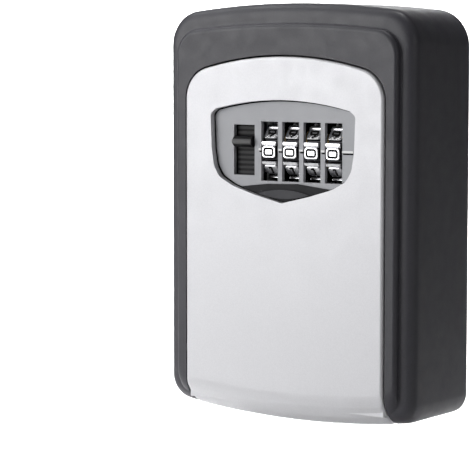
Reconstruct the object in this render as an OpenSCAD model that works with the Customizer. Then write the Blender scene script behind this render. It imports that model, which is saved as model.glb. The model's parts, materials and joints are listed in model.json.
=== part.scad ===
// Wall-mounted key lock box with a drop-down door, four code dials and a latch slider.
// X is across the front, -Y faces the user, Y = 0 is the wall, +Z is up.

/* [Case] */
// Overall width of the case
case_w = 83; // [80:1:90]
// Overall height of the case
case_h = 118; // [116:1:122]
// Depth of the case from the wall to its front face
case_d = 32; // [32:0.5:34]
// Thickness of the back wall
back_t = 2.5; // [2:0.1:3]
// Radius of the top and bottom edge arcs
case_arc = 276; // [240:2:400]
// Half width of the raised front frame
frame_hw = 37.3; // [36:0.1:38]
// Height of the raised front frame above the centre
frame_top = 53.0; // [50:0.5:54]

/* [Door] */
// Half width of the door
door_hw = 33.3; // [32:0.1:34]
// Height of the door arch above the centre
door_top = 44.1; // [42:0.1:46]
// Radius of the door arch
door_arc = 105; // [95:1:130]
// Radius of the door's upper corners
door_corner = 9; // [6:0.5:11]
// How far the door stands in front of the case
door_proud = 0.6; // [0:0.1:1]
// Thickness of the door skin
skin_t = 1.8; // [1.8:0.1:2]
// Gap all round between the door and the case
door_gap = 0.5; // [0.4:0.1:0.8]
// Radius of the door's lower front edge
chin_r = 9; // [8.5:0.1:9.2]

/* [Dials] */
// Number of faces on each dial
dial_faces = 10; // [8:1:12]
// Radius over the dial's grip ribs
dial_r = 9.3; // [9:0.1:9.3]
// Radius of the dial's number faces
face_r = 8.6; // [8.2:0.1:8.8]
// Width of each dial
dial_w = 4.9; // [4.5:0.1:5]
// Distance from one dial to the next
dial_pitch = 7.15; // [7.1:0.05:7.2]
// Centre of the first dial across the door
dial_x1 = -5.2; // [-5.4:0.1:-5]
// Height of the dial spindle
dial_z = 17.4; // [17:0.1:18]
// Diameter of the dial spindle
spindle_d = 3.0; // [2.6:0.1:3]

/* [Hinge and latch] */
// Diameter of the hinge pin
pin_d = 3.0; // [2.5:0.1:3]
// Outside radius of the hinge knuckles
knuckle_r = 3.1; // [2.9:0.1:3.1]
// Running clearance round the hinge pin and the spindle
run_gap = 0.05; // [0.02:0.01:0.09]
// Height of the latch fork's tips above the centre
fork_top = 34.4; // [33.6:0.1:34.6]
// Width of each latch fork leg
leg_w = 5; // [4:0.2:5.2]

/* [Wall fixing] */
// Diameter of the circle through the wall screw holes
hole_pcd = 45.2; // [40:0.2:50]
// Diameter of each wall screw hole
hole_d = 6; // [4:0.5:7]

/* [Hidden] */
$fn = 64;
ffn = 360;

front = -case_d;
door_face = front - door_proud;
skin_in = door_face + skin_t;
hinge_y = -27.2;
hinge_z = -52;
case_bot = -case_h / 2;
case_top = case_h / 2;
floor_z = -50.9;
ledge_y = -24;
rim_back = ledge_y - 0.4;
cav_hw = door_hw + door_gap - 4;
cav_top = door_top - 4.1;
swing_y = -18.3;
lug_y = -15.4;
lug_t = 2.2;
fascia_y = skin_in;
fascia_t = 1.2;
spindle_y = -22.5;
hub_r = 6.8;
hub_core = 4.0;
hub_flat = 4.2;
cover_front = -29.4;
cover_back = -10.1;
cover_hw = 28.5;
cover_top = 34;
cover_bot = -19;
plate_front = -12.8;
chan_floor = -12.1;
fork_y0 = -11.7;
fork_y1 = -10.2;
leg_x = 8.5;
strike_hw = 13;
strike_y0 = -15.4;
strike_y1 = -12.2;
strike_bot = 35.6;
strike_top = 41.2;
slot_x0 = -17.5;
slot_x1 = -10.3;
slot_z0 = 10.6;
slot_z1 = 24.85;
car_x0 = -16.9;
car_x1 = -10.7;

// Box between two corners
module blk(lo, hi) { translate(lo) cube(hi - lo); }

// Outline drawn in the X-Z plane, pushed out from y0 to y1
module yex(y0, y1) {
    translate([0, y1, 0]) rotate([90, 0, 0]) linear_extrude(y1 - y0) children();
}

// Outline drawn in the Y-Z plane, pushed out from x0 to x1
module xex(x0, x1) {
    translate([x0, 0, 0]) rotate([90, 0, 90]) linear_extrude(x1 - x0) children();
}

// Cylinder along X
module xcyl(r, x0, x1, y, z, fn = 64) {
    translate([x0, y, z]) rotate([0, 90, 0]) cylinder(r = r, h = x1 - x0, $fn = fn);
}

// Cylinder along Y
module ycyl(r, y0, y1, x, z, fn = 64) {
    translate([x, y1, z]) rotate([90, 0, 0]) cylinder(r = r, h = y1 - y0, $fn = fn);
}

// Trims one arc-to-side corner to radius r. s is the side, t is +1 for the top arc
module corner_trim(hw, zc, R, r, s, t) {
    cx = hw - r;
    cz = zc + t * sqrt(pow(R - r, 2) - cx * cx);
    d = [cx, cz - zc] / (R - r);
    difference() {
        polygon([[s * cx, cz], [s * (cx + 3 * r), cz], [s * (cx + 3 * r), cz + t * 3 * r],
                 [s * (cx + d[0] * 3 * r), cz + d[1] * 3 * r]]);
        translate([s * cx, cz]) circle(r = r, $fn = 96);
    }
}

// Outline with straight sides, an arched top and an arched bottom
module arched(hw, zt, Rt, rt, zb, Rb, rb) {
    difference() {
        intersection() {
            translate([-hw, zb - 1]) square([2 * hw, zt - zb + 2]);
            translate([0, zt - Rt]) circle(r = Rt, $fn = 720);
            translate([0, zb + Rb]) circle(r = Rb, $fn = 720);
        }
        for (s = [-1, 1]) {
            corner_trim(hw, zt - Rt, Rt, rt, s, 1);
            corner_trim(hw, zb + Rb, Rb, rb, s, -1);
        }
    }
}

// The door's front outline, grown by g
module door_2d(g = 0) {
    arched(door_hw + g, door_top + g, door_arc + g, door_corner + g, case_bot - g, case_arc, 1.5);
}

// The window in the door round the dials, grown by g
module window_2d(g = 0) {
    intersection() {
        translate([0, 32 + g - 95]) circle(r = 95, $fn = 720);
        polygon([[0, 3.2 - g], [9, 5.3 - g], [16.6, 7.5 - g], [21.6 + g, 10 - g], [23.2 + g, 13 - g],
                 [24 + g, 18], [24.4 + g, 27.5], [23.8 + g, 29], [22.6 + g, 36], [-22.6 - g, 36], [-23.8 - g, 29],
                 [-24.4 - g, 27.5], [-24 - g, 18], [-23.2 - g, 13 - g], [-21.6 - g, 10 - g],
                 [-16.6, 7.5 - g], [-9, 5.3 - g]]);
    }
}

// Points of the door's side section, set in by t, with its back edge at yb
function door_section(t, yb) = concat(
    [[yb, 90], [door_face + t, 90]],
    [for (a = [0:9:90]) [door_face + chin_r - (chin_r - t) * cos(a), case_bot + chin_r - (chin_r - t) * sin(a)]],
    t > 0 ? [[yb, case_bot + t]] : [[door_face + chin_r, case_bot + chin_r], [yb, case_bot + chin_r]]);

module housing() {
    color("#2d2e31") difference() {
        union() {
            yex(-27.2, 0) arched(case_w / 2, case_top, case_arc, 10.7, case_bot, case_arc, 6);
            yex(-28.7, -27.1) arched(case_w / 2 - 0.7, case_top - 0.7, case_arc, 10, case_bot + 0.6, case_arc, 5.4);
            yex(-29.9, -28.6) arched(case_w / 2 - 1.9, case_top - 1.9, case_arc, 8.8, case_bot + 1.4, case_arc, 4.5);
            yex(-31, -29.8) arched(frame_hw, frame_top, 300, 6, case_bot + 3, case_arc, 3.5);
            yex(front, -30.9) arched(frame_hw - 1, frame_top - 1, 300, 5, case_bot + 5, case_arc, 3);
        }
        // door opening, down to the seat ledge
        yex(front - 1, ledge_y) door_2d(door_gap);
        // room for the door's lower edge to swing back
        blk([-door_hw - door_gap, front - 1, case_bot - 2], [door_hw + door_gap, swing_y, -44]);
        // key cavity
        yex(ledge_y - 0.1, -back_t) intersection() {
            arched(cav_hw, cav_top, door_arc, 7, case_bot, case_arc, 2);
            translate([-60, floor_z]) square([120, 120]);
        }
        // seat for the strike bar
        blk([-strike_hw, strike_y0, 36], [strike_hw, strike_y1, strike_top]);
        // the casting is cored out from the back between its outer and inner walls
        yex(-20, 1) difference() {
            intersection() {
                arched(case_w / 2 - 2.6, case_top - 2.6, case_arc, 8.1, -90, case_arc, 2);
                translate([-60, -44]) square([120, 120]);
            }
            arched(cav_hw + 2.6, cav_top + 6.4, door_arc, 9.6, -90, case_arc, 2);
        }
        // wall screw holes
        for (a = [0:90:270]) ycyl(hole_d / 2, -back_t - 1, 1, hole_pcd / 2 * cos(a), hole_pcd / 2 * sin(a));
        // pilot holes for the hinge lug screws
        for (s = [-1, 1]) translate([s * 12, -11, floor_z - 5]) cylinder(r = 1.2, h = 6);
    }
}

// the bar that the thrown latch tips rise behind
module strike_bar() {
    color("#37383b") yex(strike_y0, strike_y1) polygon([
        [-strike_hw, strike_top], [-strike_hw, strike_bot + 1.6], [-strike_hw + 1, strike_bot],
        [strike_hw - 1, strike_bot], [strike_hw, strike_bot + 1.6], [strike_hw, strike_top]]);
}

module hinge_lug() {
    color("#c9cacd") difference() {
        union() {
            xcyl(knuckle_r, -18.2, 18.2, hinge_y, hinge_z);
            // neck up behind the door's lower edge, over its swing, and down to the floor
            blk([-18.2, hinge_y - 0.3, hinge_z], [18.2, hinge_y + 2.4, hinge_z + 10.8]);
            blk([-18.2, hinge_y + 2.3, hinge_z + 8.4], [18.2, lug_y, hinge_z + 10.8]);
            blk([-18.2, lug_y - 2.4, floor_z], [18.2, lug_y, hinge_z + 8.5]);
            blk([-18.2, lug_y - 0.1, floor_z], [18.2, -6.5, floor_z + lug_t]);
        }
        xcyl(pin_d / 2, -19, 19, hinge_y, hinge_z);
        for (s = [-1, 1]) translate([s * 12, -11, floor_z - 1]) cylinder(r = 1.6, h = 6);
    }
}

module hinge_lug_screws() {
    color("#b8babd") for (s = [-1, 1]) translate([s * 12, -11, floor_z]) difference() {
        union() {
            translate([0, 0, -4.5]) cylinder(r = 1.2, h = lug_t + 4.6);
            translate([0, 0, lug_t]) cylinder(r = 2.7, h = 1.5);
        }
        for (a = [0, 90]) rotate([0, 0, a]) translate([-1.5, -0.25, lug_t + 0.8]) cube([3, 0.5, 2]);
    }
}

module hinge_pin() {
    color("#b8babd") xcyl(pin_d / 2, -33, 33, hinge_y, hinge_z);
}

module door_shell() {
    color("#d4d5d9") difference() {
        union() {
            difference() {
                intersection() {
                    yex(door_face - 1, 0) door_2d(0);
                    xex(-60, 60) polygon(door_section(0, rim_back));
                }
                intersection() {
                    yex(door_face - 1, 1) arched(door_hw - skin_t, door_top - skin_t, door_arc, door_corner - skin_t, case_bot - 5, case_arc, 1);
                    xex(-60, 60) polygon(door_section(skin_t, rim_back + 3));
                }
                // room round the fixed centre knuckle
                xcyl(knuckle_r + 0.4, -18.5, 18.5, hinge_y, hinge_z);
            }
            // outer hinge knuckles
            for (s = [-1, 1]) difference() {
                union() {
                    xcyl(knuckle_r, s > 0 ? 18.5 : -33, s > 0 ? 33 : -18.5, hinge_y, hinge_z);
                    blk([s > 0 ? 18.5 : -33, skin_in - 0.2, hinge_z - 2.4], [s > 0 ? 33 : -18.5, hinge_y, hinge_z + knuckle_r]);
                }
            }
            // bosses for the cover screws
            for (s = [-1, 1]) ycyl(2.2, skin_in - 0.1, -24, s * 24.7, 1);
        }
        yex(door_face - 1, skin_in + 0.2) window_2d(0);
        xcyl(pin_d / 2 + run_gap, -34, 34, hinge_y, hinge_z);
        for (s = [-1, 1]) ycyl(1.25, -29.8, -23, s * 24.7, 1);
    }
}

module dial_fascia() {
    color("#a2a4a8") difference() {
        yex(fascia_y, fascia_y + fascia_t) window_2d(1.3);
        blk([slot_x0, -40, slot_z0], [slot_x1, 0, slot_z1]);
        for (i = [0:3]) blk([dial_x1 + i * dial_pitch - dial_w / 2 - 0.4, -40, 9.2],
                            [dial_x1 + i * dial_pitch + dial_w / 2 + 0.4, 0, 25.9]);
    }
}

module finger_catch() {
    color("#4a4b4f") union() {
        yex(fascia_y - 0.4, fascia_y) intersection() {
            window_2d(-0.35);
            polygon([[-20, 0], [20, 0], [15.4, 7.5], [4.3, 8.7], [-5.8, 8.4], [-16.5, 7.2]]);
        }
        yex(fascia_y - 0.9, fascia_y - 0.4) intersection() {
            translate([0, -23.3]) circle(r = 30.2, $fn = 240);
            translate([0, 34.6]) circle(r = 30.2, $fn = 240);
        }
    }
}

module lock_cover() {
    color("#dcdddf") difference() {
        union() {
            difference() {
                yex(cover_front, cover_back) arched(cover_hw, cover_top, 105, 6, cover_bot, 400, 2.5);
                yex(cover_front - 1, plate_front) arched(cover_hw - 1.5, cover_top - 1.5, 105, 4.5, cover_bot + 1.5, 400, 1.2);
                // screw recesses
                for (s = [-1, 1]) blk([s > 0 ? 21.9 : -30, -20, -4], [s > 0 ? 30 : -21.9, 0, 14]);
            }
            // screw pads
            for (s = [-1, 1]) blk([s > 0 ? 20.9 : -28.5, -24, -4], [s > 0 ? 28.5 : -20.9, -20, 6]);
            // recess inner walls
            for (s = [-1, 1]) blk([s > 0 ? 20.9 : -21.9, -24, -4], [s > 0 ? 21.9 : -20.9, plate_front + 0.01, 0]);
            // spindle cheeks
            blk([-9.1, -26.5, 8.2], [-8.1, plate_front + 0.01, 27]);
            blk([20.9, -26.5, 8.2], [21.9, plate_front + 0.01, 27]);
            // raised block over the slider's travel
            blk([-17.6, cover_back - 0.01, cover_bot], [-9.8, -7, -9.8]);
        }
        // channels for the latch fork
        for (s = [-1, 1]) blk([s * leg_x - leg_w / 2 - 0.4, chan_floor, -7], [s * leg_x + leg_w / 2 + 0.4, 0, 50]);
        blk([-17.4, chan_floor, -6.8], [11.4, 0, 5.4]);
        // window for the slider carrier
        blk([car_x0 - 0.5, -13.5, -9.4], [car_x1 + 0.5, 0, 9]);
        // room for the slider's plate at the top of its travel
        blk([-18.7, cover_front - 1, 20], [-9.1, -27.5, 33]);
        // slot for the code-change lever
        blk([20.0, -13.5, -11.2], [25.6, 0, -5.4]);
        xcyl(spindle_d / 2, -10, 23, spindle_y, dial_z);
        for (s = [-1, 1]) ycyl(1.35, -25, -19, s * 24.7, 1);
    }
}

module cover_screws() {
    color("#c4c6c9") for (s = [-1, 1]) translate([s * 24.7, 0, 1]) difference() {
        union() {
            ycyl(1.25, -29.4, -19.9, 0, 0);
            ycyl(2.4, -20, -18.4, 0, 0);
        }
        for (a = [0, 90]) rotate([0, a, 0]) translate([-1.4, -19.2, -0.25]) cube([2.8, 2, 0.5]);
    }
}

module dial_spindle() {
    color("#b8babd") xcyl(spindle_d / 2, -9.1, 21.9, spindle_y, dial_z);
}

module detent_spring() {
    color("#c2b78f") difference() {
        union() {
            blk([-7.8, -27, 27.2], [18.9, -18.6, 27.6]);
            blk([-7.8, -19, 27.2], [18.9, -18.6, 30.6]);
        }
        for (i = [0:2]) blk([dial_x1 + (i + 0.5) * dial_pitch - 0.6, -28, 27], [dial_x1 + (i + 0.5) * dial_pitch + 0.6, -20, 28]);
    }
}

// A round wire of radius w along the points p
function ring(c, t, w, n) =
    let (u = [-t[1], t[0], 0] / norm([t[0], t[1], 0]), v = cross(t, u))
    [for (k = [0:n - 1]) c + w * (cos(360 * k / n) * u + sin(360 * k / n) * v)];
module wire(p, w, n) {
    m = len(p);
    tan = [for (i = [0:m - 1]) let (a = p[max(i - 1, 0)], b = p[min(i + 1, m - 1)]) (b - a) / norm(b - a)];
    pts = [for (i = [0:m - 1]) each ring(p[i], tan[i], w, n)];
    side = [for (i = [0:m - 2]) for (k = [0:n - 1]) each [[i * n + k, i * n + (k + 1) % n, (i + 1) * n + (k + 1) % n],
                                                         [i * n + k, (i + 1) * n + (k + 1) % n, (i + 1) * n + k]]];
    polyhedron(points = pts, faces = concat([[for (k = [n - 1:-1:0]) k]], side, [[for (k = [0:n - 1]) (m - 1) * n + k]]), convexity = 10);
}

module latch_spring() {
    turns = 8;
    per = 10;
    z0 = cover_bot + 1.8;
    z1 = -4.3;
    color("#b8babd") translate([-13.8, -16.2, 0])
        wire([for (i = [0:turns * per]) let (a = 360 * i / per) [2 * cos(a), 2 * sin(a), z0 + (z1 - z0) * i / (turns * per)]], 0.25, 6);
}

module open_slider() {
    color("#17181a") difference() {
        union() {
            blk([-18.3, -29.2, 7.4], [-9.5, -27.9, 29.6]);
            // grip ribs
            for (i = [0:9]) blk([-17.0, -29.45, 11 + 1.4 * i], [-10.8, -29.15, 11.7 + 1.4 * i]);
            // thumb fin
            xex(-17.1, -10.7) polygon([[-29.1, 18.4], [-31.2, 18.6], [-32.45, 19.75], [-32.45, 20.45], [-31.2, 21.6], [-29.1, 21.8]]);
        }
    }
}

module slider_carrier() {
    color("#232427") union() {
        blk([car_x0, -27.9, -4], [car_x1, plate_front - 0.35, 11]);
        blk([car_x0, plate_front - 0.36, -1.2], [car_x1, fork_y0, 6]);
    }
}

module latch_fork() {
    color("#c08a78") difference() {
        union() {
            for (s = [-1, 1]) {
                blk([s * leg_x - leg_w / 2, fork_y0, -1.2], [s * leg_x + leg_w / 2, fork_y1, fork_top]);
            }
            blk([-16.5, fork_y0, -1.2], [leg_x + leg_w / 2, fork_y1, 2.4]);
            blk([-16.5, fork_y1 - 0.01, -1.2], [leg_x + leg_w / 2, -7.4, 0.2]);
        }
        for (s = [-1, 1]) ycyl(1.2, fork_y1 - 0.3, 0, s * leg_x, 19);
        ycyl(0.9, -13, 0, -13.8, 1.3);
    }
}

module fork_rivet() {
    color("#c9cacd") union() {
        ycyl(0.9, fork_y0, fork_y1, -13.8, 1.3);
        ycyl(1.05, fork_y1, fork_y1 + 0.7, -13.8, 1.3);
    }
}

module fence_comb() {
    color("#a9abae") union() {
        blk([car_x1, -15.1, 1], [20.5, -13.6, 5]);
        for (i = [0:3]) {
            x = dial_x1 + i * dial_pitch + dial_w / 2 + 0.4;
            blk([x, -15.1, 4.9], [x + 1.4, -13.6, 25]);
            blk([x, -18.0, 23], [x + 1.4, -15.09, 25]);
        }
    }
}

module dial(i) {
    x = dial_x1 + i * dial_pitch;
    color("#d9dadc") translate([x, spindle_y, dial_z]) difference() {
        union() {
            xcyl(face_r, -dial_w / 2, dial_w / 2, 0, 0, 96);
            intersection() {
                xcyl(dial_r, -dial_w / 2, dial_w / 2, 0, 0, 96);
                for (k = [0:dial_faces - 1]) rotate([180 / dial_faces + k * 360 / dial_faces, 0, 0])
                    blk([-dial_w / 2 - 1, -dial_r - 1, -0.8], [dial_w / 2 + 1, -face_r + 1, 0.8]);
            }
        }
        xcyl(hub_core, -dial_w, dial_w, 0, 0);
    }
}

module code_hub(i) {
    x = dial_x1 + i * dial_pitch;
    color("#c8ab62") translate([x, spindle_y, dial_z]) difference() {
        union() {
            xcyl(hub_core, -dial_w / 2, dial_w / 2, 0, 0);
            xcyl(hub_r, dial_w / 2, dial_w / 2 + 1.7, 0, 0);
        }
        xcyl(spindle_d / 2 + run_gap, -dial_w, dial_w + 2, 0, 0);
        // the flat that lets the fence tooth pass at the code
        blk([dial_w / 2 - 0.01, hub_flat, -10], [dial_w / 2 + 3, 10, 10]);
        // relief flat a quarter turn on, between two numbers
        blk([dial_w / 2 - 0.01, -10, -10], [dial_w / 2 + 3, 10, -hub_flat]);
    }
}

module reset_lever() {
    color("#17181a") union() {
        blk([18.6, -14.4, -11.5], [24.2, -13.1, -5.1]);
        blk([20.4, -13.11, -10.3], [23.0, -9.0, -6.3]);
    }
}

housing();
strike_bar();
hinge_lug();
hinge_lug_screws();
hinge_pin();
door_shell();
dial_fascia();
finger_catch();
lock_cover();
cover_screws();
dial_spindle();
detent_spring();
latch_spring();
open_slider();
slider_carrier();
latch_fork();
fork_rivet();
fence_comb();
dial(0);  // dial_1
dial(1);  // dial_2
dial(2);  // dial_3
dial(3);  // dial_4
code_hub(0);  // code_hub_1
code_hub(1);  // code_hub_2
code_hub(2);  // code_hub_3
code_hub(3);  // code_hub_4
reset_lever();
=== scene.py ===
import json
import math
import bpy
import bmesh
from mathutils import Vector, Matrix


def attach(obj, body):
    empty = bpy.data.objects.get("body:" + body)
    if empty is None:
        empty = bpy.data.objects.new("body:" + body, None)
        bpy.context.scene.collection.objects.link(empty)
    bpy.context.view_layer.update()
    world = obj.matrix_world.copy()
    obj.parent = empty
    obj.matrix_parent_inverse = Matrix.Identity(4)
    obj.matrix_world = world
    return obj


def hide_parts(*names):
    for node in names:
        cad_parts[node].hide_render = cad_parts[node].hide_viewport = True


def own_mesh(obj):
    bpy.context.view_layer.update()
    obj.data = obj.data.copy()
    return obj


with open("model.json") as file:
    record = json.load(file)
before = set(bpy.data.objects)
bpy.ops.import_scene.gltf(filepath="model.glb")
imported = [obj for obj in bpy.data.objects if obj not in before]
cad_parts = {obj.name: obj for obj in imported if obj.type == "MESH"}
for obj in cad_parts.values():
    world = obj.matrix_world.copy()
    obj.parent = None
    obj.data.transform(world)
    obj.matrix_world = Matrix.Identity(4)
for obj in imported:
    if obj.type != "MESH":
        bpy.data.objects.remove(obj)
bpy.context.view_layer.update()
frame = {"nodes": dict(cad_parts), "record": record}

MM = 0.001
scene = bpy.context.scene
rec = frame["record"]
nodes = frame["nodes"]

# ------------------------------------------------------------------ helpers


def link(name, me):
    ob = bpy.data.objects.new(name, me)
    scene.collection.objects.link(ob)
    return ob


def mesh_from(name, verts, faces):
    """A closed mesh from points in millimetres."""
    me = bpy.data.meshes.new(name)
    me.from_pydata([(x * MM, y * MM, z * MM) for x, y, z in verts], [], faces)
    bm = bmesh.new()
    bm.from_mesh(me)
    bmesh.ops.remove_doubles(bm, verts=bm.verts, dist=1e-7)
    bmesh.ops.recalc_face_normals(bm, faces=bm.faces)
    bm.to_mesh(me)
    bm.free()
    return link(name, me)


def arc(cx, cz, r, a0, a1, n):
    return [(cx + r * math.cos(math.radians(a0 + (a1 - a0) * i / n)), cz + r * math.sin(math.radians(a0 + (a1 - a0) * i / n))) for i in range(n + 1)]


def arched(hw, zt, Rt, rt, zb, Rb, rb, nt=44, nc=12, ns=30, nb=44):
    """Outline with straight sides and arched ends, the same number of points whatever its sizes. Goes anticlockwise seen from the front."""
    ct, cb = zt - Rt, zb + Rb
    cx = hw - rt
    czt = ct + math.sqrt((Rt - rt) ** 2 - cx * cx)
    at = math.degrees(math.atan2(czt - ct, cx))
    bx = hw - rb
    czb = cb - math.sqrt((Rb - rb) ** 2 - bx * bx)
    ab = math.degrees(math.atan2(cb - czb, bx))
    pts = arc(cx, czt, rt, 0, at, nc)[:-1]
    pts += arc(0, ct, Rt, at, 180 - at, nt)[:-1]
    pts += arc(-cx, czt, rt, 180 - at, 180, nc)[:-1]
    pts += [(-hw, czt + (czb - czt) * i / ns) for i in range(ns)]
    pts += arc(-bx, czb, rb, 180, 180 + ab, nc)[:-1]
    pts += arc(0, cb, Rb, 180 + ab, 360 - ab, nb)[:-1]
    pts += arc(bx, czb, rb, 360 - ab, 360, nc)[:-1]
    pts += [(hw, czb + (czt - czb) * i / ns) for i in range(ns)]
    return pts


def loft(name, rings):
    """rings: list of (y, outline). The first and last are capped."""
    n = len(rings[0][1])
    verts = [(x, y, z) for y, o in rings for x, z in o]
    faces = [[k * n + i, k * n + (i + 1) % n, (k + 1) * n + (i + 1) % n, (k + 1) * n + i] for k in range(len(rings) - 1) for i in range(n)]
    faces.append(list(range(n)))
    faces.append([(len(rings) - 1) * n + i for i in range(n)])
    return mesh_from(name, verts, faces)


def prism(name, outline, y0, y1):
    return loft(name, [(y0, outline), (y1, outline)])


def xprism(name, section, x0, x1):
    """section is a closed list of (y, z)."""
    n = len(section)
    verts = [(x0, y, z) for y, z in section] + [(x1, y, z) for y, z in section]
    faces = [[i, (i + 1) % n, n + (i + 1) % n, n + i] for i in range(n)] + [list(range(n)), list(range(n, 2 * n))]
    return mesh_from(name, verts, faces)


def blk(name, lo, hi):
    return prism(name, [(lo[0], lo[2]), (hi[0], lo[2]), (hi[0], hi[2]), (lo[0], hi[2])], lo[1], hi[1])


def cyl(name, axis, r, a0, a1, c, n=48):
    """Cylinder along X, Y or Z. c is the centre in the other two, in X, Y, Z order."""
    ring = [(c[0] + r * math.cos(2 * math.pi * i / n), c[1] + r * math.sin(2 * math.pi * i / n)) for i in range(n)]
    if axis == "Y":
        return prism(name, ring, a0, a1)
    if axis == "X":
        return xprism(name, ring, a0, a1)
    verts = [(x, y, a0) for x, y in ring] + [(x, y, a1) for x, y in ring]
    return mesh_from(name, verts, [[i, (i + 1) % n, n + (i + 1) % n, n + i] for i in range(n)] + [list(range(n)), list(range(n, 2 * n))])


def round_poly(pts, radii, n=6):
    """Rounds the corners of a closed outline."""
    out = []
    m = len(pts)
    for i, p in enumerate(pts):
        r = radii[i] if isinstance(radii, (list, tuple)) else radii
        a = Vector(pts[i - 1]) - Vector(p)
        b = Vector(pts[(i + 1) % m]) - Vector(p)
        if r <= 0:
            out.append(tuple(p))
            continue
        ang = a.angle(b)
        t = min(r / math.tan(ang / 2), a.length * 0.48, b.length * 0.48)
        r = t * math.tan(ang / 2)
        s, e = Vector(p) + a.normalized() * t, Vector(p) + b.normalized() * t
        c = Vector(p) + (a.normalized() + b.normalized()).normalized() * (r / math.sin(ang / 2))
        v0, v1 = s - c, e - c
        turn = math.atan2(v0.x * v1.y - v0.y * v1.x, v0.dot(v1))
        for k in range(n + 1):
            q = turn * k / n
            out.append((c.x + v0.x * math.cos(q) - v0.y * math.sin(q), c.y + v0.x * math.sin(q) + v0.y * math.cos(q)))
    return out


def apply(ob, *mods):
    """Applies every modifier on ob in place and gives it one clean mesh."""
    dg = bpy.context.evaluated_depsgraph_get()
    dg.update()
    me = bpy.data.meshes.new_from_object(ob.evaluated_get(dg), preserve_all_data_layers=False, depsgraph=dg)
    ob.modifiers.clear()
    old = ob.data
    ob.data = me
    bpy.data.meshes.remove(old)
    return ob


def boolean(ob, cutters, op="DIFFERENCE"):
    for c in cutters:
        m = ob.modifiers.new("b", "BOOLEAN")
        m.operation = op
        m.solver = "EXACT"
        m.object = c
        apply(ob)
    for c in cutters:
        me = c.data
        bpy.data.objects.remove(c)
        bpy.data.meshes.remove(me)
    return ob


def tidy(ob, bevel=0.0, angle=35, segments=2, smooth=40, dissolve=True):
    bm = bmesh.new()
    bm.from_mesh(ob.data)
    bmesh.ops.remove_doubles(bm, verts=bm.verts, dist=2e-6)
    if dissolve:
        bmesh.ops.dissolve_degenerate(bm, edges=bm.edges, dist=2e-6)
    bm.to_mesh(ob.data)
    bm.free()
    if bevel:
        m = ob.modifiers.new("bev", "BEVEL")
        m.width = bevel * MM
        m.segments = segments
        m.limit_method = "ANGLE"
        m.angle_limit = math.radians(angle)
        m.use_clamp_overlap = True
        m.miter_outer = "MITER_ARC"
        apply(ob)
    ob.data.polygons.foreach_set("use_smooth", [True] * len(ob.data.polygons))
    ob.data.set_sharp_from_angle(angle=math.radians(smooth))
    # faces square to the front keep their own normal up to their border
    bm = bmesh.new()
    bm.from_mesh(ob.data)
    for e in bm.edges:
        if len(e.link_faces) == 2:
            f, g = e.link_faces
            if (abs(f.normal.y) > 0.99998) != (abs(g.normal.y) > 0.99998) and f.normal.angle(g.normal, 0.0) > 0.01:
                e.smooth = False
    bm.to_mesh(ob.data)
    bm.free()
    w = ob.modifiers.new("wn", "WEIGHTED_NORMAL")
    w.keep_sharp = True
    w.weight = 80
    apply(ob)
    return ob


def join(name, obs):
    bm = bmesh.new()
    for o in obs:
        bm.from_mesh(o.data)
    me = bpy.data.meshes.new(name)
    bm.to_mesh(me)
    bm.free()
    for o in obs:
        d = o.data
        bpy.data.objects.remove(o)
        bpy.data.meshes.remove(d)
    return link(name, me)


def done(ob, body, slot, mat, *replaced):
    ob.data.materials.clear()
    ob.data.materials.append(mat)
    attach(ob, body)
    if replaced:
        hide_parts(*replaced)
    return ob


def cad(node, mat, bevel=0.15, segments=2, angle=40):
    """A CAD node that stays: a softened edge by modifier, and a material."""
    ob = nodes[node]
    ob.data.materials.clear()
    ob.data.materials.append(mat)
    if bevel:
        m = ob.modifiers.new("edge", "BEVEL")
        m.width = bevel * MM
        m.segments = segments
        m.limit_method = "ANGLE"
        m.angle_limit = math.radians(angle)
        m.harden_normals = False
    return ob


# ------------------------------------------------------------------ materials


def nt(name):
    m = bpy.data.materials.new(name)
    m.use_nodes = True
    t = m.node_tree
    return m, t, t.nodes["Principled BSDF"]


def add(t, kind, **kw):
    n = t.nodes.new(kind)
    for k, v in kw.items():
        if k in n.inputs:
            n.inputs[k].default_value = v
        else:
            setattr(n, k, v)
    return n


def ramp(t, stops):
    r = t.nodes.new("ShaderNodeValToRGB")
    el = r.color_ramp.elements
    while len(el) < len(stops):
        el.new(0.5)
    for e, (p, c) in zip(el, stops):
        e.position = p
        e.color = (c[0], c[1], c[2], 1) if isinstance(c, (tuple, list)) else (c, c, c, 1)
    return r


def coords(t):
    return t.nodes.new("ShaderNodeTexCoord").outputs["Object"]


def noise(t, src, scale, detail=3.0, rough=0.55):
    n = t.nodes.new("ShaderNodeTexNoise")
    n.inputs["Scale"].default_value = scale
    n.inputs["Detail"].default_value = detail
    n.inputs["Roughness"].default_value = rough
    t.links.new(src, n.inputs["Vector"])
    return n


def bump(t, b, heights, normal="Normal"):
    """heights: list of (socket, strength, distance in metres), stacked."""
    last = None
    for h, s, d in heights:
        n = t.nodes.new("ShaderNodeBump")
        n.inputs["Strength"].default_value = s
        n.inputs["Distance"].default_value = d
        t.links.new(h, n.inputs["Height"])
        if last:
            t.links.new(last, n.inputs["Normal"])
        last = n.outputs["Normal"]
    t.links.new(last, b.inputs[normal])


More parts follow.
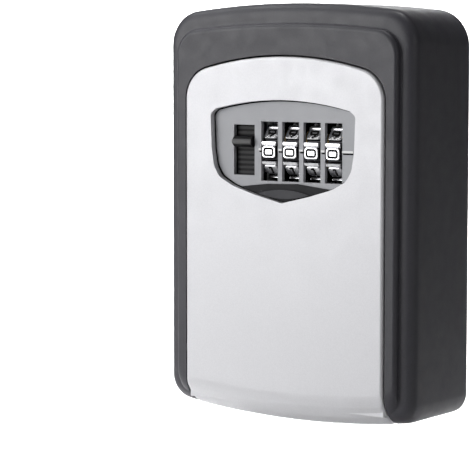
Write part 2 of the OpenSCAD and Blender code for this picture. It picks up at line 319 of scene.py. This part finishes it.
def paint(name, dark, light, rough=(0.35, 0.5), grain=2600.0, peel=260.0, metallic=0.0, coat=0.0, bump_s=0.12, spec=0.5, edge=None, big=18.0, coat_rough=0.3):
    """Sprayed paint on a casting: fine grain, slight orange peel, uneven gloss, lighter worn edges."""
    m, t, b = nt(name)
    c = coords(t)
    n1 = noise(t, c, grain, 2.0)
    n2 = noise(t, c, peel, 3.0)
    n3 = noise(t, c, big, 4.0)
    mix = t.nodes.new("ShaderNodeMath")
    mix.operation = "MULTIPLY_ADD"
    mix.inputs[1].default_value = 0.55
    t.links.new(n1.outputs["Fac"], mix.inputs[0])
    sc = t.nodes.new("ShaderNodeMath")
    sc.operation = "MULTIPLY"
    sc.inputs[1].default_value = 0.45
    t.links.new(n3.outputs["Fac"], sc.inputs[0])
    t.links.new(sc.outputs[0], mix.inputs[2])
    r = ramp(t, [(0.3, dark), (0.7, light)])
    t.links.new(mix.outputs[0], r.inputs[0])
    colour = r.outputs[0]
    if edge:
        g = t.nodes.new("ShaderNodeNewGeometry")
        er = ramp(t, [(0.515, 0.0), (0.56, 1.0)])
        t.links.new(g.outputs["Pointiness"], er.inputs[0])
        nm = t.nodes.new("ShaderNodeMath")
        nm.operation = "MULTIPLY"
        t.links.new(er.outputs[0], nm.inputs[0])
        t.links.new(n2.outputs["Fac"], nm.inputs[1])
        mx = t.nodes.new("ShaderNodeMix")
        mx.data_type = "RGBA"
        t.links.new(nm.outputs[0], mx.inputs[0])
        t.links.new(colour, mx.inputs[6])
        mx.inputs[7].default_value = (*edge, 1)
        colour = mx.outputs[2]
    t.links.new(colour, b.inputs["Base Color"])
    rr = t.nodes.new("ShaderNodeMapRange")
    rr.inputs["To Min"].default_value = rough[0]
    rr.inputs["To Max"].default_value = rough[1]
    rr.inputs["From Min"].default_value = 0.3
    rr.inputs["From Max"].default_value = 0.7
    t.links.new(n2.outputs["Fac"], rr.inputs["Value"])
    t.links.new(rr.outputs[0], b.inputs["Roughness"])
    b.inputs["Metallic"].default_value = metallic
    b.inputs["Specular IOR Level"].default_value = spec
    b.inputs["Coat Weight"].default_value = coat
    b.inputs["Coat Roughness"].default_value = coat_rough
    bump(t, b, [(n1.outputs["Fac"], bump_s, 0.00006), (n2.outputs["Fac"], bump_s * 1.2, 0.00025)])
    return m


def metal(name, dark, light, rough=(0.2, 0.35), stretch=(1, 1, 1), scale=900.0, bump_s=0.06, metallic=1.0):
    """Plated or rolled metal: drawn grain along one axis, smudges in the gloss."""
    m, t, b = nt(name)
    c = coords(t)
    mp = t.nodes.new("ShaderNodeMapping")
    mp.inputs["Scale"].default_value = stretch
    t.links.new(c, mp.inputs["Vector"])
    n1 = noise(t, mp.outputs[0], scale, 4.0)
    n2 = noise(t, c, 140.0, 3.0)
    r = ramp(t, [(0.3, dark), (0.7, light)])
    t.links.new(n1.outputs["Fac"], r.inputs[0])
    t.links.new(r.outputs[0], b.inputs["Base Color"])
    rr = t.nodes.new("ShaderNodeMapRange")
    rr.inputs["From Min"].default_value = 0.3
    rr.inputs["From Max"].default_value = 0.7
    rr.inputs["To Min"].default_value = rough[0]
    rr.inputs["To Max"].default_value = rough[1]
    t.links.new(n2.outputs["Fac"], rr.inputs["Value"])
    t.links.new(rr.outputs[0], b.inputs["Roughness"])
    b.inputs["Metallic"].default_value = metallic
    bump(t, b, [(n1.outputs["Fac"], bump_s, 0.00005)])
    return m


M_case = paint("case_charcoal", (0.035, 0.034, 0.042), (0.047, 0.046, 0.057), rough=(0.42, 0.52), spec=0.56, bump_s=0.13)
M_door = paint("door_silver", (0.66, 0.66, 0.685), (0.74, 0.74, 0.765), rough=(0.36, 0.46), metallic=0.25, spec=0.5, bump_s=0.10, grain=3200.0)
M_cast = paint("cast_silver", (0.56, 0.56, 0.58), (0.66, 0.66, 0.68), rough=(0.34, 0.5), metallic=0.4, bump_s=0.14)
M_fascia = paint("fascia_grey", (0.335, 0.34, 0.36), (0.385, 0.39, 0.41), rough=(0.38, 0.5), metallic=0.1, bump_s=0.08, grain=3600.0)
M_catch = paint("catch_grey", (0.016, 0.016, 0.018), (0.024, 0.024, 0.027), rough=(0.5, 0.62), bump_s=0.08, spec=0.18)
M_cover = paint("cover_light", (0.74, 0.74, 0.745), (0.82, 0.82, 0.825), rough=(0.4, 0.55), bump_s=0.12)
M_black = paint("black_plastic", (0.006, 0.006, 0.007), (0.011, 0.011, 0.012), rough=(0.42, 0.55), bump_s=0.06, spec=0.16)
M_slider = paint("slider_black", (0.006, 0.006, 0.007), (0.011, 0.011, 0.012), rough=(0.42, 0.55), bump_s=0.06, spec=0.16)
M_steel = metal("zinc_steel", (0.50, 0.50, 0.52), (0.66, 0.66, 0.68), rough=(0.24, 0.4))
M_spring = metal("spring_steel", (0.42, 0.42, 0.43), (0.58, 0.57, 0.55), rough=(0.25, 0.4), stretch=(1, 1, 8))
M_copper = metal("copper_fork", (0.66, 0.40, 0.32), (0.84, 0.58, 0.49), rough=(0.30, 0.48), scale=1500.0, bump_s=0.2)
def painted_recess_shade(m, axis_yz, r0, r1, dark):
    """Painted shade: darkens the recesses of a turned part, by distance from its X axis (metres)."""
    t = m.node_tree
    b = t.nodes["Principled BSDF"]
    c = coords(t)
    sub = t.nodes.new("ShaderNodeVectorMath")
    sub.operation = "SUBTRACT"
    sub.inputs[1].default_value = (0, axis_yz[0], axis_yz[1])
    t.links.new(c, sub.inputs[0])
    mul = t.nodes.new("ShaderNodeVectorMath")
    mul.operation = "MULTIPLY"
    mul.inputs[1].default_value = (0, 1, 1)
    t.links.new(sub.outputs[0], mul.inputs[0])
    ln = t.nodes.new("ShaderNodeVectorMath")
    ln.operation = "LENGTH"
    t.links.new(mul.outputs[0], ln.inputs[0])
    mr = t.nodes.new("ShaderNodeMapRange")
    mr.inputs["From Min"].default_value = r0
    mr.inputs["From Max"].default_value = r1
    t.links.new(ln.outputs["Value"], mr.inputs["Value"])
    old = b.inputs["Base Color"].links[0].from_socket
    mx = t.nodes.new("ShaderNodeMix")
    mx.data_type = "RGBA"
    mx.inputs[6].default_value = (*dark, 1)
    t.links.new(mr.outputs[0], mx.inputs[0])
    t.links.new(old, mx.inputs[7])
    t.links.new(mx.outputs[2], b.inputs["Base Color"])
    return m


def painted_face_highlight(m, y0, y1, light):
    """A painted highlight: a lighter tone on a raised face, by depth in Y (metres), standing in for the light it
    catches.
    """
    t = m.node_tree
    b = t.nodes["Principled BSDF"]
    sp = t.nodes.new("ShaderNodeSeparateXYZ")
    t.links.new(coords(t), sp.inputs[0])
    mr = t.nodes.new("ShaderNodeMapRange")
    mr.inputs["From Min"].default_value = y0
    mr.inputs["From Max"].default_value = y1
    t.links.new(sp.outputs[1], mr.inputs["Value"])
    old = b.inputs["Base Color"].links[0].from_socket
    mx = t.nodes.new("ShaderNodeMix")
    mx.data_type = "RGBA"
    mx.inputs[7].default_value = (*light, 1)
    t.links.new(mr.outputs[0], mx.inputs[0])
    t.links.new(old, mx.inputs[6])
    t.links.new(mx.outputs[2], b.inputs["Base Color"])
    return m


def painted_highlights_by_depth(m, y0, y1, stops):
    """Adds painted highlights by depth in Y (metres): lighter rib tops and crest, standing in for the light they catch.
    """
    t = m.node_tree
    b = t.nodes["Principled BSDF"]
    sp = t.nodes.new("ShaderNodeSeparateXYZ")
    t.links.new(coords(t), sp.inputs[0])
    mr = t.nodes.new("ShaderNodeMapRange")
    mr.inputs["From Min"].default_value = y0
    mr.inputs["From Max"].default_value = y1
    t.links.new(sp.outputs[1], mr.inputs["Value"])
    r = ramp(t, stops)
    t.links.new(mr.outputs[0], r.inputs[0])
    old = b.inputs["Base Color"].links[0].from_socket
    mx = t.nodes.new("ShaderNodeMix")
    mx.data_type = "RGBA"
    mx.blend_type = "ADD"
    mx.inputs[0].default_value = 1.0
    t.links.new(old, mx.inputs[6])
    t.links.new(r.outputs[0], mx.inputs[7])
    t.links.new(mx.outputs[2], b.inputs["Base Color"])
    return m


# painted highlights: the slider's rib tops and crest get a lighter colour by depth, for light they catch
painted_highlights_by_depth(M_slider, -0.0292, -0.0325, [(0.0, 0.0), (0.04, 0.0), (0.06, 0.035), (0.08, 0.035), (0.11, 0.0), (0.82, 0.0), (0.90, 0.13)])
# painted highlight: the finger catch's raised pad is coloured lighter than its base, for light falling on it
painted_face_highlight(M_catch, -0.03135, -0.0316, (0.075, 0.075, 0.082))
M_chrome = metal("dial_chrome", (0.74, 0.74, 0.76), (0.86, 0.86, 0.88), rough=(0.16, 0.28), stretch=(1, 6, 6))
# painted shade: near-black colour on the dial below about 8.4 to 8.7 mm radius, in the valleys and notches between the
# number pads
M_chrome = painted_recess_shade(M_chrome, (-0.0225, 0.0174), 0.0084, 0.0087, (0.020, 0.020, 0.022))
M_brass = metal("hub_brass", (0.58, 0.42, 0.18), (0.72, 0.55, 0.28), rough=(0.22, 0.35))
M_ink = paint("number_black", (0.003, 0.003, 0.003), (0.006, 0.006, 0.006), rough=(0.55, 0.7), bump_s=0.05, spec=0.08)
M_white = paint("index_white", (0.80, 0.80, 0.80), (0.90, 0.90, 0.90), rough=(0.4, 0.5), bump_s=0.04)

# ------------------------------------------------------------------ sizes, as in the CAD model (mm)

W, H, D = 83.0, 118.0, 32.0
FACE = -D
DF = -32.6
SKIN_IN = -30.8
CHIN = 9.0
HY, HZ = -27.2, -52.0
FLOOR = -50.9
LEDGE = -24.0


def chin_z(y, yc, r=CHIN, apex=-59.0):
    """Height of the rounded lower edge at depth y, for an arc of radius r that starts at the bottom at y = yc."""
    k = max(0.0, yc - y)
    return (apex + r) - math.sqrt(max(0.0, r * r - k * k))


# ------------------------------------------------------------------ housing


def make_housing():
    rings = []
    yc = -23.0

    def ring(y, hw, zt, rt, rb, Rt=276.0):
        zb = chin_z(y, yc) if y < yc else -59.0
        return (y, arched(hw, zt, Rt, rt, zb, 276.0, rb))

    rings.append((0.0, arched(41.1, 58.6, 276, 10.3, -58.6, 276, 5.6)))
    rings.append((-0.15, arched(41.38, 58.88, 276, 10.6, -58.88, 276, 5.9)))
    rings.append((-0.45, arched(41.5, 59, 276, 10.7, -59, 276, 6)))
    for y in (-8, -16, -23, -24.2, -25.4, -26.9):
        rings.append(ring(y, 41.5, 59.0, 10.7 - 0.04 * abs(y), 6.0))
    # shoulder
    for a in (15, 30, 45, 60, 75, 90):
        s, c = math.sin(math.radians(a)), math.cos(math.radians(a))
        rings.append(ring(-26.9 - 3.0 * s, 41.5 - 3.2 * (1 - c), 59.0 - 3.9 * (1 - c), 9.62 - 1.6 * (1 - c), 6.0 - 0.8 * (1 - c)))
    # cove up to the raised frame
    for k, a in enumerate((0, 22, 45, 67, 90)):
        s, c = math.sin(math.radians(a)), math.cos(math.radians(a))
        rings.append(ring(-29.95 - 0.3 * (1 - c), 38.0 - 0.7 * s, 54.9 - 1.6 * s, 7.9 - 0.6 * s, 5.0 - 0.4 * s, 276 + 24 * s))
    for y in (-30.4, -30.7):
        rings.append(ring(y, 37.28, 53.28, 7.2, 4.5, 300))
    # soft edge of the raised frame
    for a in (15, 30, 45, 60, 75, 90):
        s, c = math.sin(math.radians(a)), math.cos(math.radians(a))
        rings.append(ring(-30.7 - 1.3 * s, 37.28 - 1.1 * (1 - c), 53.28 - 1.4 * (1 - c), 7.2 - 1.0 * (1 - c), 4.5 - 0.8 * (1 - c), 300))
    ob = loft("case_shell", rings)
    cut = []
    cut.append(prism("c1", arched(33.8, 44.6, 105.5, 9.5, -75, 276, 1.5), FACE - 2, LEDGE))
    cut.append(blk("c2", (-33.8, FACE - 2, -70), (33.8, -18.3, -44)))
    cav = arched(29.8, 40.0, 105, 7, -50.9, 4000, 1.6)
    cut.append(prism("c3", cav, LEDGE - 1, -2.5))
    cut.append(blk("p", (-13, -15.4, 36), (13, -12.2, 41.2)))
    # cored-out back
    outer = arched(38.9, 56.4, 276, 8.1, -44, 4000, 2)
    inner = arched(32.4, 46.4, 105, 9.6, -70, 276, 2)
    core = prism("core", outer, -20, 2)
    boolean(core, [prism("corein", inner, -21, 3)])
    cut.append(core)
    for a in (0, 90, 180, 270):
        cut.append(cyl("h%d" % a, "Y", 3.0, -5, 2, (22.6 * math.cos(math.radians(a)), 22.6 * math.sin(math.radians(a)))))
    boolean(ob, cut)
    tidy(ob, bevel=0.28, angle=38, segments=3)
    return done(ob, "case", "case_paint", M_case, "housing")


# ------------------------------------------------------------------ door


def window_outline(g=0.0, n=5):
    R = 95.0
    zt = 32.0 + g
    top = []
    for i in range(13):
        x = 22.6 * (1 - 2 * i / 12)
        top.append((x, zt - R + math.sqrt(R * R - x * x)))
    right = [(0, 3.2 - g), (9, 5.3 - g), (16.6, 7.5 - g), (21.4 + g, 10 - g), (23.2 + g, 13 - g), (24 + g, 18), (24.4 + g, 27.9 + g)]
    left = [(-x, z) for x, z in reversed(right[1:])]
    pts = right + top + left
    rad = [1.2, 12, 12, 4, 4, 12, 1.5] + [0.9] + [0] * 11 + [0.9] + [1.5, 12, 4, 4, 12, 12]
    return round_poly(pts, rad, n)


def door_rings(inset, y_front, y_back, r_edge, chin, yc=-23.6):
    rings = []
    hw, zt, rt = 33.3 - inset, 44.1 - inset, 9 - inset

    def ring(y, d, k):
        zb = chin_z(y, yc, chin, -59.0 + inset)
        return (y, arched(hw - d, zt - d, 105 - inset, rt - d, zb, 276, max(0.6, 1.6 - k)))

    y = y_back
    for y in (y_back, yc - 1.5, yc - 3.0, yc - 4.2, yc - 5.2, yc - 6.0, yc - 6.7):
        if y > y_front + r_edge + 0.3:
            rings.append(ring(y, 0, 0))
    for a in (0, 15, 30, 45, 60, 75, 90):
        s, c = math.sin(math.radians(a)), math.cos(math.radians(a))
        rings.append(ring(y_front + r_edge * (1 - s), r_edge * (1 - c), 0.6 * (1 - c)))
    return rings


def make_door():
    ob = loft("door_panel", door_rings(0.0, DF, -24.4, 0.75, CHIN))
    hollow = loft("hollow", [(-15.0, arched(31.5, 42.3, 103.2, 7.2, -57.2, 276, 1.5))] + door_rings(1.8, SKIN_IN, -24.4, 0.6, CHIN - 1.8))
    knuckle_room = cyl("kr", "X", 3.5, -18.5, 18.5, (HY, HZ))
    win = prism("win", window_outline(0), DF - 1, SKIN_IN + 1)
    boolean(ob, [hollow, knuckle_room, win])
    tidy(ob, bevel=0.3, angle=38, segments=3)
    extra = []
    for s in (-1, 1):
        a, b = (18.5, 33.0) if s > 0 else (-33.0, -18.5)
        sec = [(SKIN_IN - 0.2, HZ - 2.4)] + [(HY + 3.1 * math.cos(math.radians(q)), HZ + 3.1 * math.sin(math.radians(q))) for q in range(-90, 91, 15)] + [(SKIN_IN - 0.2, HZ + 3.1)]
        k = xprism("kn%d" % s, sec, a, b)
        boolean(k, [cyl("kb", "X", 1.55, -40, 40, (HY, HZ))])
        tidy(k, bevel=0.25)
        # gusset from the knuckle to the rim
        extra.append(k)
        bo = cyl("bo%d" % s, "Y", 2.2, SKIN_IN - 0.1, -24.0, (s * 24.7, 1.0))
        boolean(bo, [cyl("bh", "Y", 1.25, -29.8, -20, (s * 24.7, 1.0))])
        tidy(bo, bevel=0.2)
        extra.append(bo)
        # stiffening ribs up the inside of the panel
        for x in (11.0, 22.0):
            r = blk("rib", (s * x - 0.6, SKIN_IN - 0.1, -46), (s * x + 0.6, SKIN_IN + 0.9, -21))
            extra.append(tidy(r, bevel=0.2))
    ob = join("door_panel", [ob] + extra)
    return done(ob, "door", "door_paint", M_door, "door_shell")


# ------------------------------------------------------------------ dials

DIAL_X = [-5.2 + 7.15 * i for i in range(4)]
SY, SZ = -22.5, 17.4
STROKES = {
    0: [[(-1.45, -0.95), (-1.45, 0.95), (1.45, 0.95), (1.45, -0.95), (-1.45, -0.95)]],
    1: [[(-0.7, 0.7), (0.2, 1.15), (0.2, -1.15)]],
    2: [[(-1.2, 1.0), (1.2, 1.0), (1.2, 0.15), (-1.2, -1.0), (1.3, -1.0)]],
    3: [[(-1.2, 1.0), (1.2, 1.0), (0.0, 0.15), (1.2, -0.3), (1.0, -1.0), (-1.2, -1.0)]],
    4: [[(0.7, -1.15), (0.7, 1.15), (-1.3, -0.45), (1.3, -0.45)]],
    5: [[(1.2, 1.0), (-1.1, 1.0), (-1.1, 0.15), (1.0, 0.15), (1.2, -0.5), (0.9, -1.0), (-1.2, -1.0)]],
    6: [[(0.9, 1.1), (-1.1, 0.1), (-1.2, -1.0), (1.2, -1.0), (1.2, 0.05), (-1.0, 0.05)]],
    7: [[(-1.2, 1.0), (1.3, 1.0), (-0.2, -1.15)]],
    8: [[(-1.0, 1.0), (1.0, 1.0), (1.0, 0.05), (-1.0, 0.05), (-1.0, 1.0)], [(-1.2, 0.05), (1.2, 0.05), (1.2, -1.0), (-1.2, -1.0), (-1.2, 0.05)]],
    9: [[(1.1, -0.05), (-1.1, -0.05), (-1.1, 1.0), (1.1, 1.0), (1.1, -0.05), (-0.3, -1.2)]],
}


def ribbon(path, w, y0, y1, closed):
    """A flat stroke of width w with mitred, softened corners, as one closed solid between y0 and y1."""
    pts = [Vector(p) for p in path]
    if closed:
        pts = pts[:-1]
    rp = round_poly([tuple(p) for p in pts], 0.55, 4) if closed else None
    if rp is None:
        rp = [tuple(pts[0])]
        for i in range(1, len(pts) - 1):
            a, p, b = pts[i - 1], pts[i], pts[i + 1]
            t = min(0.35, (a - p).length * 0.4, (b - p).length * 0.4)
            s, e = p + (a - p).normalized() * t, p + (b - p).normalized() * t
            for k in range(5):
                u = k / 4
                rp.append(tuple((1 - u) ** 2 * s + 2 * u * (1 - u) * p + u * u * e))
        rp.append(tuple(pts[-1]))
    q = [Vector(p) for p in rp]
    m = len(q)
    L, R = [], []
    for i in range(m):
        if closed:
            d = (q[(i + 1) % m] - q[i - 1]).normalized()
        else:
            d = (q[min(i + 1, m - 1)] - q[max(i - 1, 0)]).normalized()
        nrm = Vector((-d.y, d.x))
        L.append(q[i] + nrm * w / 2)
        R.append(q[i] - nrm * w / 2)
    verts = [(v.x, y, v.y) for y in (y0, y1) for v in L + R]
    faces = []
    n = 2 * m
    rng = range(m if closed else m - 1)
    for i in rng:
        j = (i + 1) % m
        faces += [[i, j, m + j, m + i], [n + i, n + m + i, n + m + j, n + j], [i, n + i, n + j, j], [m + i, m + j, n + m + j, n + m + i]]
    if not closed:
        faces += [[0, m, n + m, n], [m - 1, n + m - 1, n + 2 * m - 1, 2 * m - 1]]
    return verts, faces


def make_dial(i):
    x0 = DIAL_X[i]
    hw = 2.42
    # body section: valleys between the number pads and the grip ribs
    sec = []
    for k in range(10):
        a0 = 180 + 36 * k
        # a sunk notch, a raised facet above the number, and the number's seat
        for da, r in ((-25.4, 7.9), (-19.6, 7.9), (-18.9, 9.25), (-13.0, 9.15), (-10.9, 8.75), (-10.4, 8.28), (-4, 8.3), (4, 8.3), (9.6, 8.28)):
            a = math.radians(a0 + da)
            sec.append((r * math.cos(a), r * math.sin(a)))
    body = xprism("d", [(y + SY, z + SZ) for y, z in sec], x0 - hw, x0 + hw)
    boolean(body, [cyl("dc", "X", 4.0, -40, 40, (SY, SZ), 64)])
    tidy(body, bevel=0.22, angle=30, segments=2)
    parts = [body]
    ink = []
    for k in range(10):
        # number k stands at the front when the dial has turned k steps; the next number is below the one in front
        rot = Matrix.Translation(Vector((x0, SY, SZ)) * MM) @ Matrix.Rotation(math.radians(36 * k), 4, "X")
        pad = loft("pad", [(-8.0, round_poly([(-2.25, -1.62), (2.25, -1.62), (2.25, 1.62), (-2.25, 1.62)], 0.5, 4)),
                           (-8.72, round_poly([(-2.2, -1.58), (2.2, -1.58), (2.2, 1.58), (-2.2, 1.58)], 0.7, 4)),
                           (-8.84, round_poly([(-2.08, -1.46), (2.08, -1.46), (2.08, 1.46), (-2.08, 1.46)], 0.65, 4))])
        tidy(pad, bevel=0, smooth=30)
        pad.data.transform(rot)
        parts.append(pad)
        for st in STROKES[k]:
            closed = st[0] == st[-1]
            v, f = ribbon(st, 0.62, -8.80, -8.88, closed)
            o = mesh_from("ink", v, f)
            o.data.transform(rot)
            ink.append(o)
    name = "dial_%d" % (i + 1)
    ob = join("number_wheel_%d" % (i + 1), parts)
    done(ob, "wheel_%d" % (i + 1), "dial_metal", M_chrome, name)
    num = join("numbers_%d" % (i + 1), ink)
    num.data.polygons.foreach_set("use_smooth", [False] * len(num.data.polygons))
    done(num, "wheel_%d" % (i + 1), "black_plastic", M_ink)


# ------------------------------------------------------------------ index marks


def make_marks():
    obs = []
    zi = 18.05
    y0, y1 = -30.9, -30.78
    spans = [(-8.9, -7.95)] + [(DIAL_X[i] + 2.95, DIAL_X[i + 1] - 2.95) for i in range(3)] + [(19.1, 22.6)]
    for a, b in spans:
        o = prism("m", round_poly([(a, zi - 0.32), (b, zi - 0.32), (b, zi + 0.32), (a, zi + 0.32)], 0.12, 3), y0, y1)
        obs.append(o)
    ob = join("index_marks", obs)
    done(ob, "door", "cover_plastic", M_white)
    obs = []
    for a, b in spans:
        o = prism("m", [(a + 0.25, zi - 0.8), (b + 0.15, zi - 0.8), (b + 0.15, zi - 0.32), (a + 0.25, zi - 0.32)], y0 + 0.06, y1)
        obs.append(o)
    ob = join("index_shadow_lines", obs)
    done(ob, "door", "black_plastic", M_ink)


def make_window_gap_shadow():
    # painted shadow: a thin near-black ring just inside the window edge, at the fascia's face, for the shadow in the
    # gap between the door skin and the fascia
    o, i = window_outline(-0.02), window_outline(-0.42)
    n = len(o)
    verts = [(x, y, z) for y in (-30.86, -30.79) for ring_ in (o, i) for x, z in ring_]
    faces = []
    for k in range(n):
        j = (k + 1) % n
        faces += [[k, j, n + j, n + k], [2 * n + k, 3 * n + k, 3 * n + j, 2 * n + j], [k, 2 * n + k, 2 * n + j, j], [n + k, n + j, 3 * n + j, 3 * n + k]]
    done(mesh_from("window_gap_shadow", verts, faces), "door", "black_plastic", M_ink)


def make_spring():
    """The latch spring, built as one fixed coil on the door (the real one shortens as the slider is pulled)."""
    turns, per, n, w = 8, 28, 8, 0.25
    z0, z1 = -17.2, -4.3
    m = turns * per + 1
    pts = [Vector((-13.8 + 2 * math.cos(2 * math.pi * i / per), -16.2 + 2 * math.sin(2 * math.pi * i / per), z0 + (z1 - z0) * i / (m - 1))) for i in range(m)]
    verts = []
    for i, p in enumerate(pts):
        t = (pts[min(i + 1, m - 1)] - pts[max(i - 1, 0)]).normalized()
        u = Vector((p.x + 13.8, p.y + 16.2, 0)).normalized()
        v = t.cross(u).normalized()
        verts += [tuple(p + (u * math.cos(2 * math.pi * k / n) + v * math.sin(2 * math.pi * k / n)) * w) for k in range(n)]
    faces = [[i * n + k, i * n + (k + 1) % n, (i + 1) * n + (k + 1) % n, (i + 1) * n + k] for i in range(m - 1) for k in range(n)]
    faces += [list(range(n)), [(m - 1) * n + k for k in range(n)]]
    ob = mesh_from("latch_coil", verts, faces)
    ob.data.polygons.foreach_set("use_smooth", [True] * len(ob.data.polygons))
    ob.data.set_sharp_from_angle(angle=math.radians(50))
    done(ob, "door", "spring_steel", M_spring, "latch_spring")
    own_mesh(ob)


make_housing()
make_door()
make_spring()
make_window_gap_shadow()
for i in range(4):
    make_dial(i)
make_marks()

cad("strike_bar", M_case, 0.3, 2)
cad("hinge_lug", M_cast, 0.8, 4, 50)
cad("hinge_lug_screws", M_steel, 0.12)
cad("hinge_pin", M_steel, 0.15)
cad("dial_fascia", M_fascia, 0.12, 2)
cad("finger_catch", M_catch, 0.15, 2)
cad("lock_cover", M_cover, 0.35, 3, 50)
cad("cover_screws", M_steel, 0.12)
cad("dial_spindle", M_steel, 0.1)
cad("detent_spring", M_spring, 0.05)
cad("open_slider", M_slider, 0.12, 2)
cad("slider_carrier", M_black, 0.3, 2)
cad("latch_fork", M_copper, 0.2, 2)
cad("fork_rivet", M_steel, 0.15)
cad("fence_comb", M_steel, 0.1)
for i in range(4):
    cad("code_hub_%d" % (i + 1), M_brass, 0.12)
cad("reset_lever", M_black, 0.25, 2)

# ------------------------------------------------------------------ stage, light, camera


def plane(name, pts, mat):
    me = bpy.data.meshes.new(name)
    me.from_pydata(pts, [], [list(range(len(pts)))])
    ob = link(name, me)
    me.materials.append(mat)
    return ob


M_floor, ft, fb = nt("pale_floor")
fc = coords(ft)
fn = noise(ft, fc, 3.0, 2.0)
fr = ramp(ft, [(0.3, (0.80, 0.80, 0.80)), (0.7, (0.83, 0.83, 0.83))])
ft.links.new(fn.outputs["Fac"], fr.inputs[0])
ft.links.new(fr.outputs[0], fb.inputs["Base Color"])
fb.inputs["Roughness"].default_value = 0.9
fb.inputs["Specular IOR Level"].default_value = 0.1

ZF = -0.0845
plane("floor", [(-6, -6, ZF), (6, -6, ZF), (6, 6, ZF), (-6, 6, ZF)], M_floor)


def sweep(name, az, d0, r, top, hw, mat):
    """A paper sweep: it leaves the floor at distance d0 behind the object, turns up on radius r and stands up to height top."""
    sec = [(d0 + r * math.sin(math.radians(q)), ZF - 0.0004 + r * (1 - math.cos(math.radians(q)))) for q in range(0, 91, 3)] + [(d0 + r, top)]
    dx, dy = -math.sin(math.radians(az)), math.cos(math.radians(az))
    me = bpy.data.meshes.new(name)
    pts = [(dx * d + dy * w, dy * d - dx * w, z) for d, z in sec for w in (-hw, hw)]
    me.from_pydata(pts, [], [[2 * i, 2 * i + 1, 2 * i + 3, 2 * i + 2] for i in range(len(sec) - 1)])
    me.polygons.foreach_set("use_smooth", [True] * len(me.polygons))
    ob = link(name, me)
    me.materials.append(mat)
    return ob


sweep("backdrop", 35.7, 1.0, 0.5, 1.3, 1.1, M_floor)

world = bpy.data.worlds.new("w")
scene.world = world
world.use_nodes = True
bg = world.node_tree.nodes["Background"]
bg.inputs[0].default_value = (1, 1, 1, 1)
bg.inputs[1].default_value = 0.08


def area(name, loc, target, size, energy, colour=(1, 1, 1), sy=None, spread=None):
    l = bpy.data.lights.new(name, "AREA")
    l.energy = energy
    l.color = colour
    l.size = size
    if sy:
        l.shape = "RECTANGLE"
        l.size_y = sy
    if spread:
        l.spread = math.radians(spread)
    o = bpy.data.objects.new(name, l)
    o.location = loc
    d = Vector(target) - Vector(loc)
    o.rotation_euler = d.to_track_quat("-Z", "Y").to_euler()
    scene.collection.objects.link(o)
    return o


area("key", (-0.75, -0.95, 0.35), (0, -0.02, 0), 1.0, 11.2, sy=0.9)
area("edge", (1.1, -0.42, 0.25), (0, -0.02, 0), 0.25, 0.9, sy=0.6)
area("paper", (-0.62, 0.70, 1.5), (-0.72, 1.0, 0.0), 0.8, 24, sy=0.8, spread=62)
area("rim", (-0.60, -0.12, 0.80), (0, -0.02, 0), 0.28, 1.5, sy=0.28)
ground = area("ground", (-0.33, 0.45, 1.2), (-0.33, 0.45, 0.0), 0.30, 3.2, sy=1.05, spread=14)
ground.rotation_euler = (0, 0, math.radians(35.7))

AZ, EL = math.radians(35.715), math.radians(5.067)
back = Vector((math.sin(AZ) * math.cos(EL), -math.cos(AZ) * math.cos(EL), math.sin(EL)))
cam_d = bpy.data.cameras.new("camera")
cam = bpy.data.objects.new("camera", cam_d)
scene.collection.objects.link(cam)
cam.location = (0.33980, -0.52726, 0.04754)
cam.rotation_euler = (-back).to_track_quat("-Z", "Y").to_euler()
cam_d.sensor_width = 36.0
cam_d.sensor_fit = "HORIZONTAL"
cam_d.lens = 164.92
cam_d.clip_start = 0.01
cam_d.clip_end = 50
scene.camera = cam
scene.view_settings.view_transform = "Standard"
scene.view_settings.look = "None"
scene.view_settings.exposure = 0.0
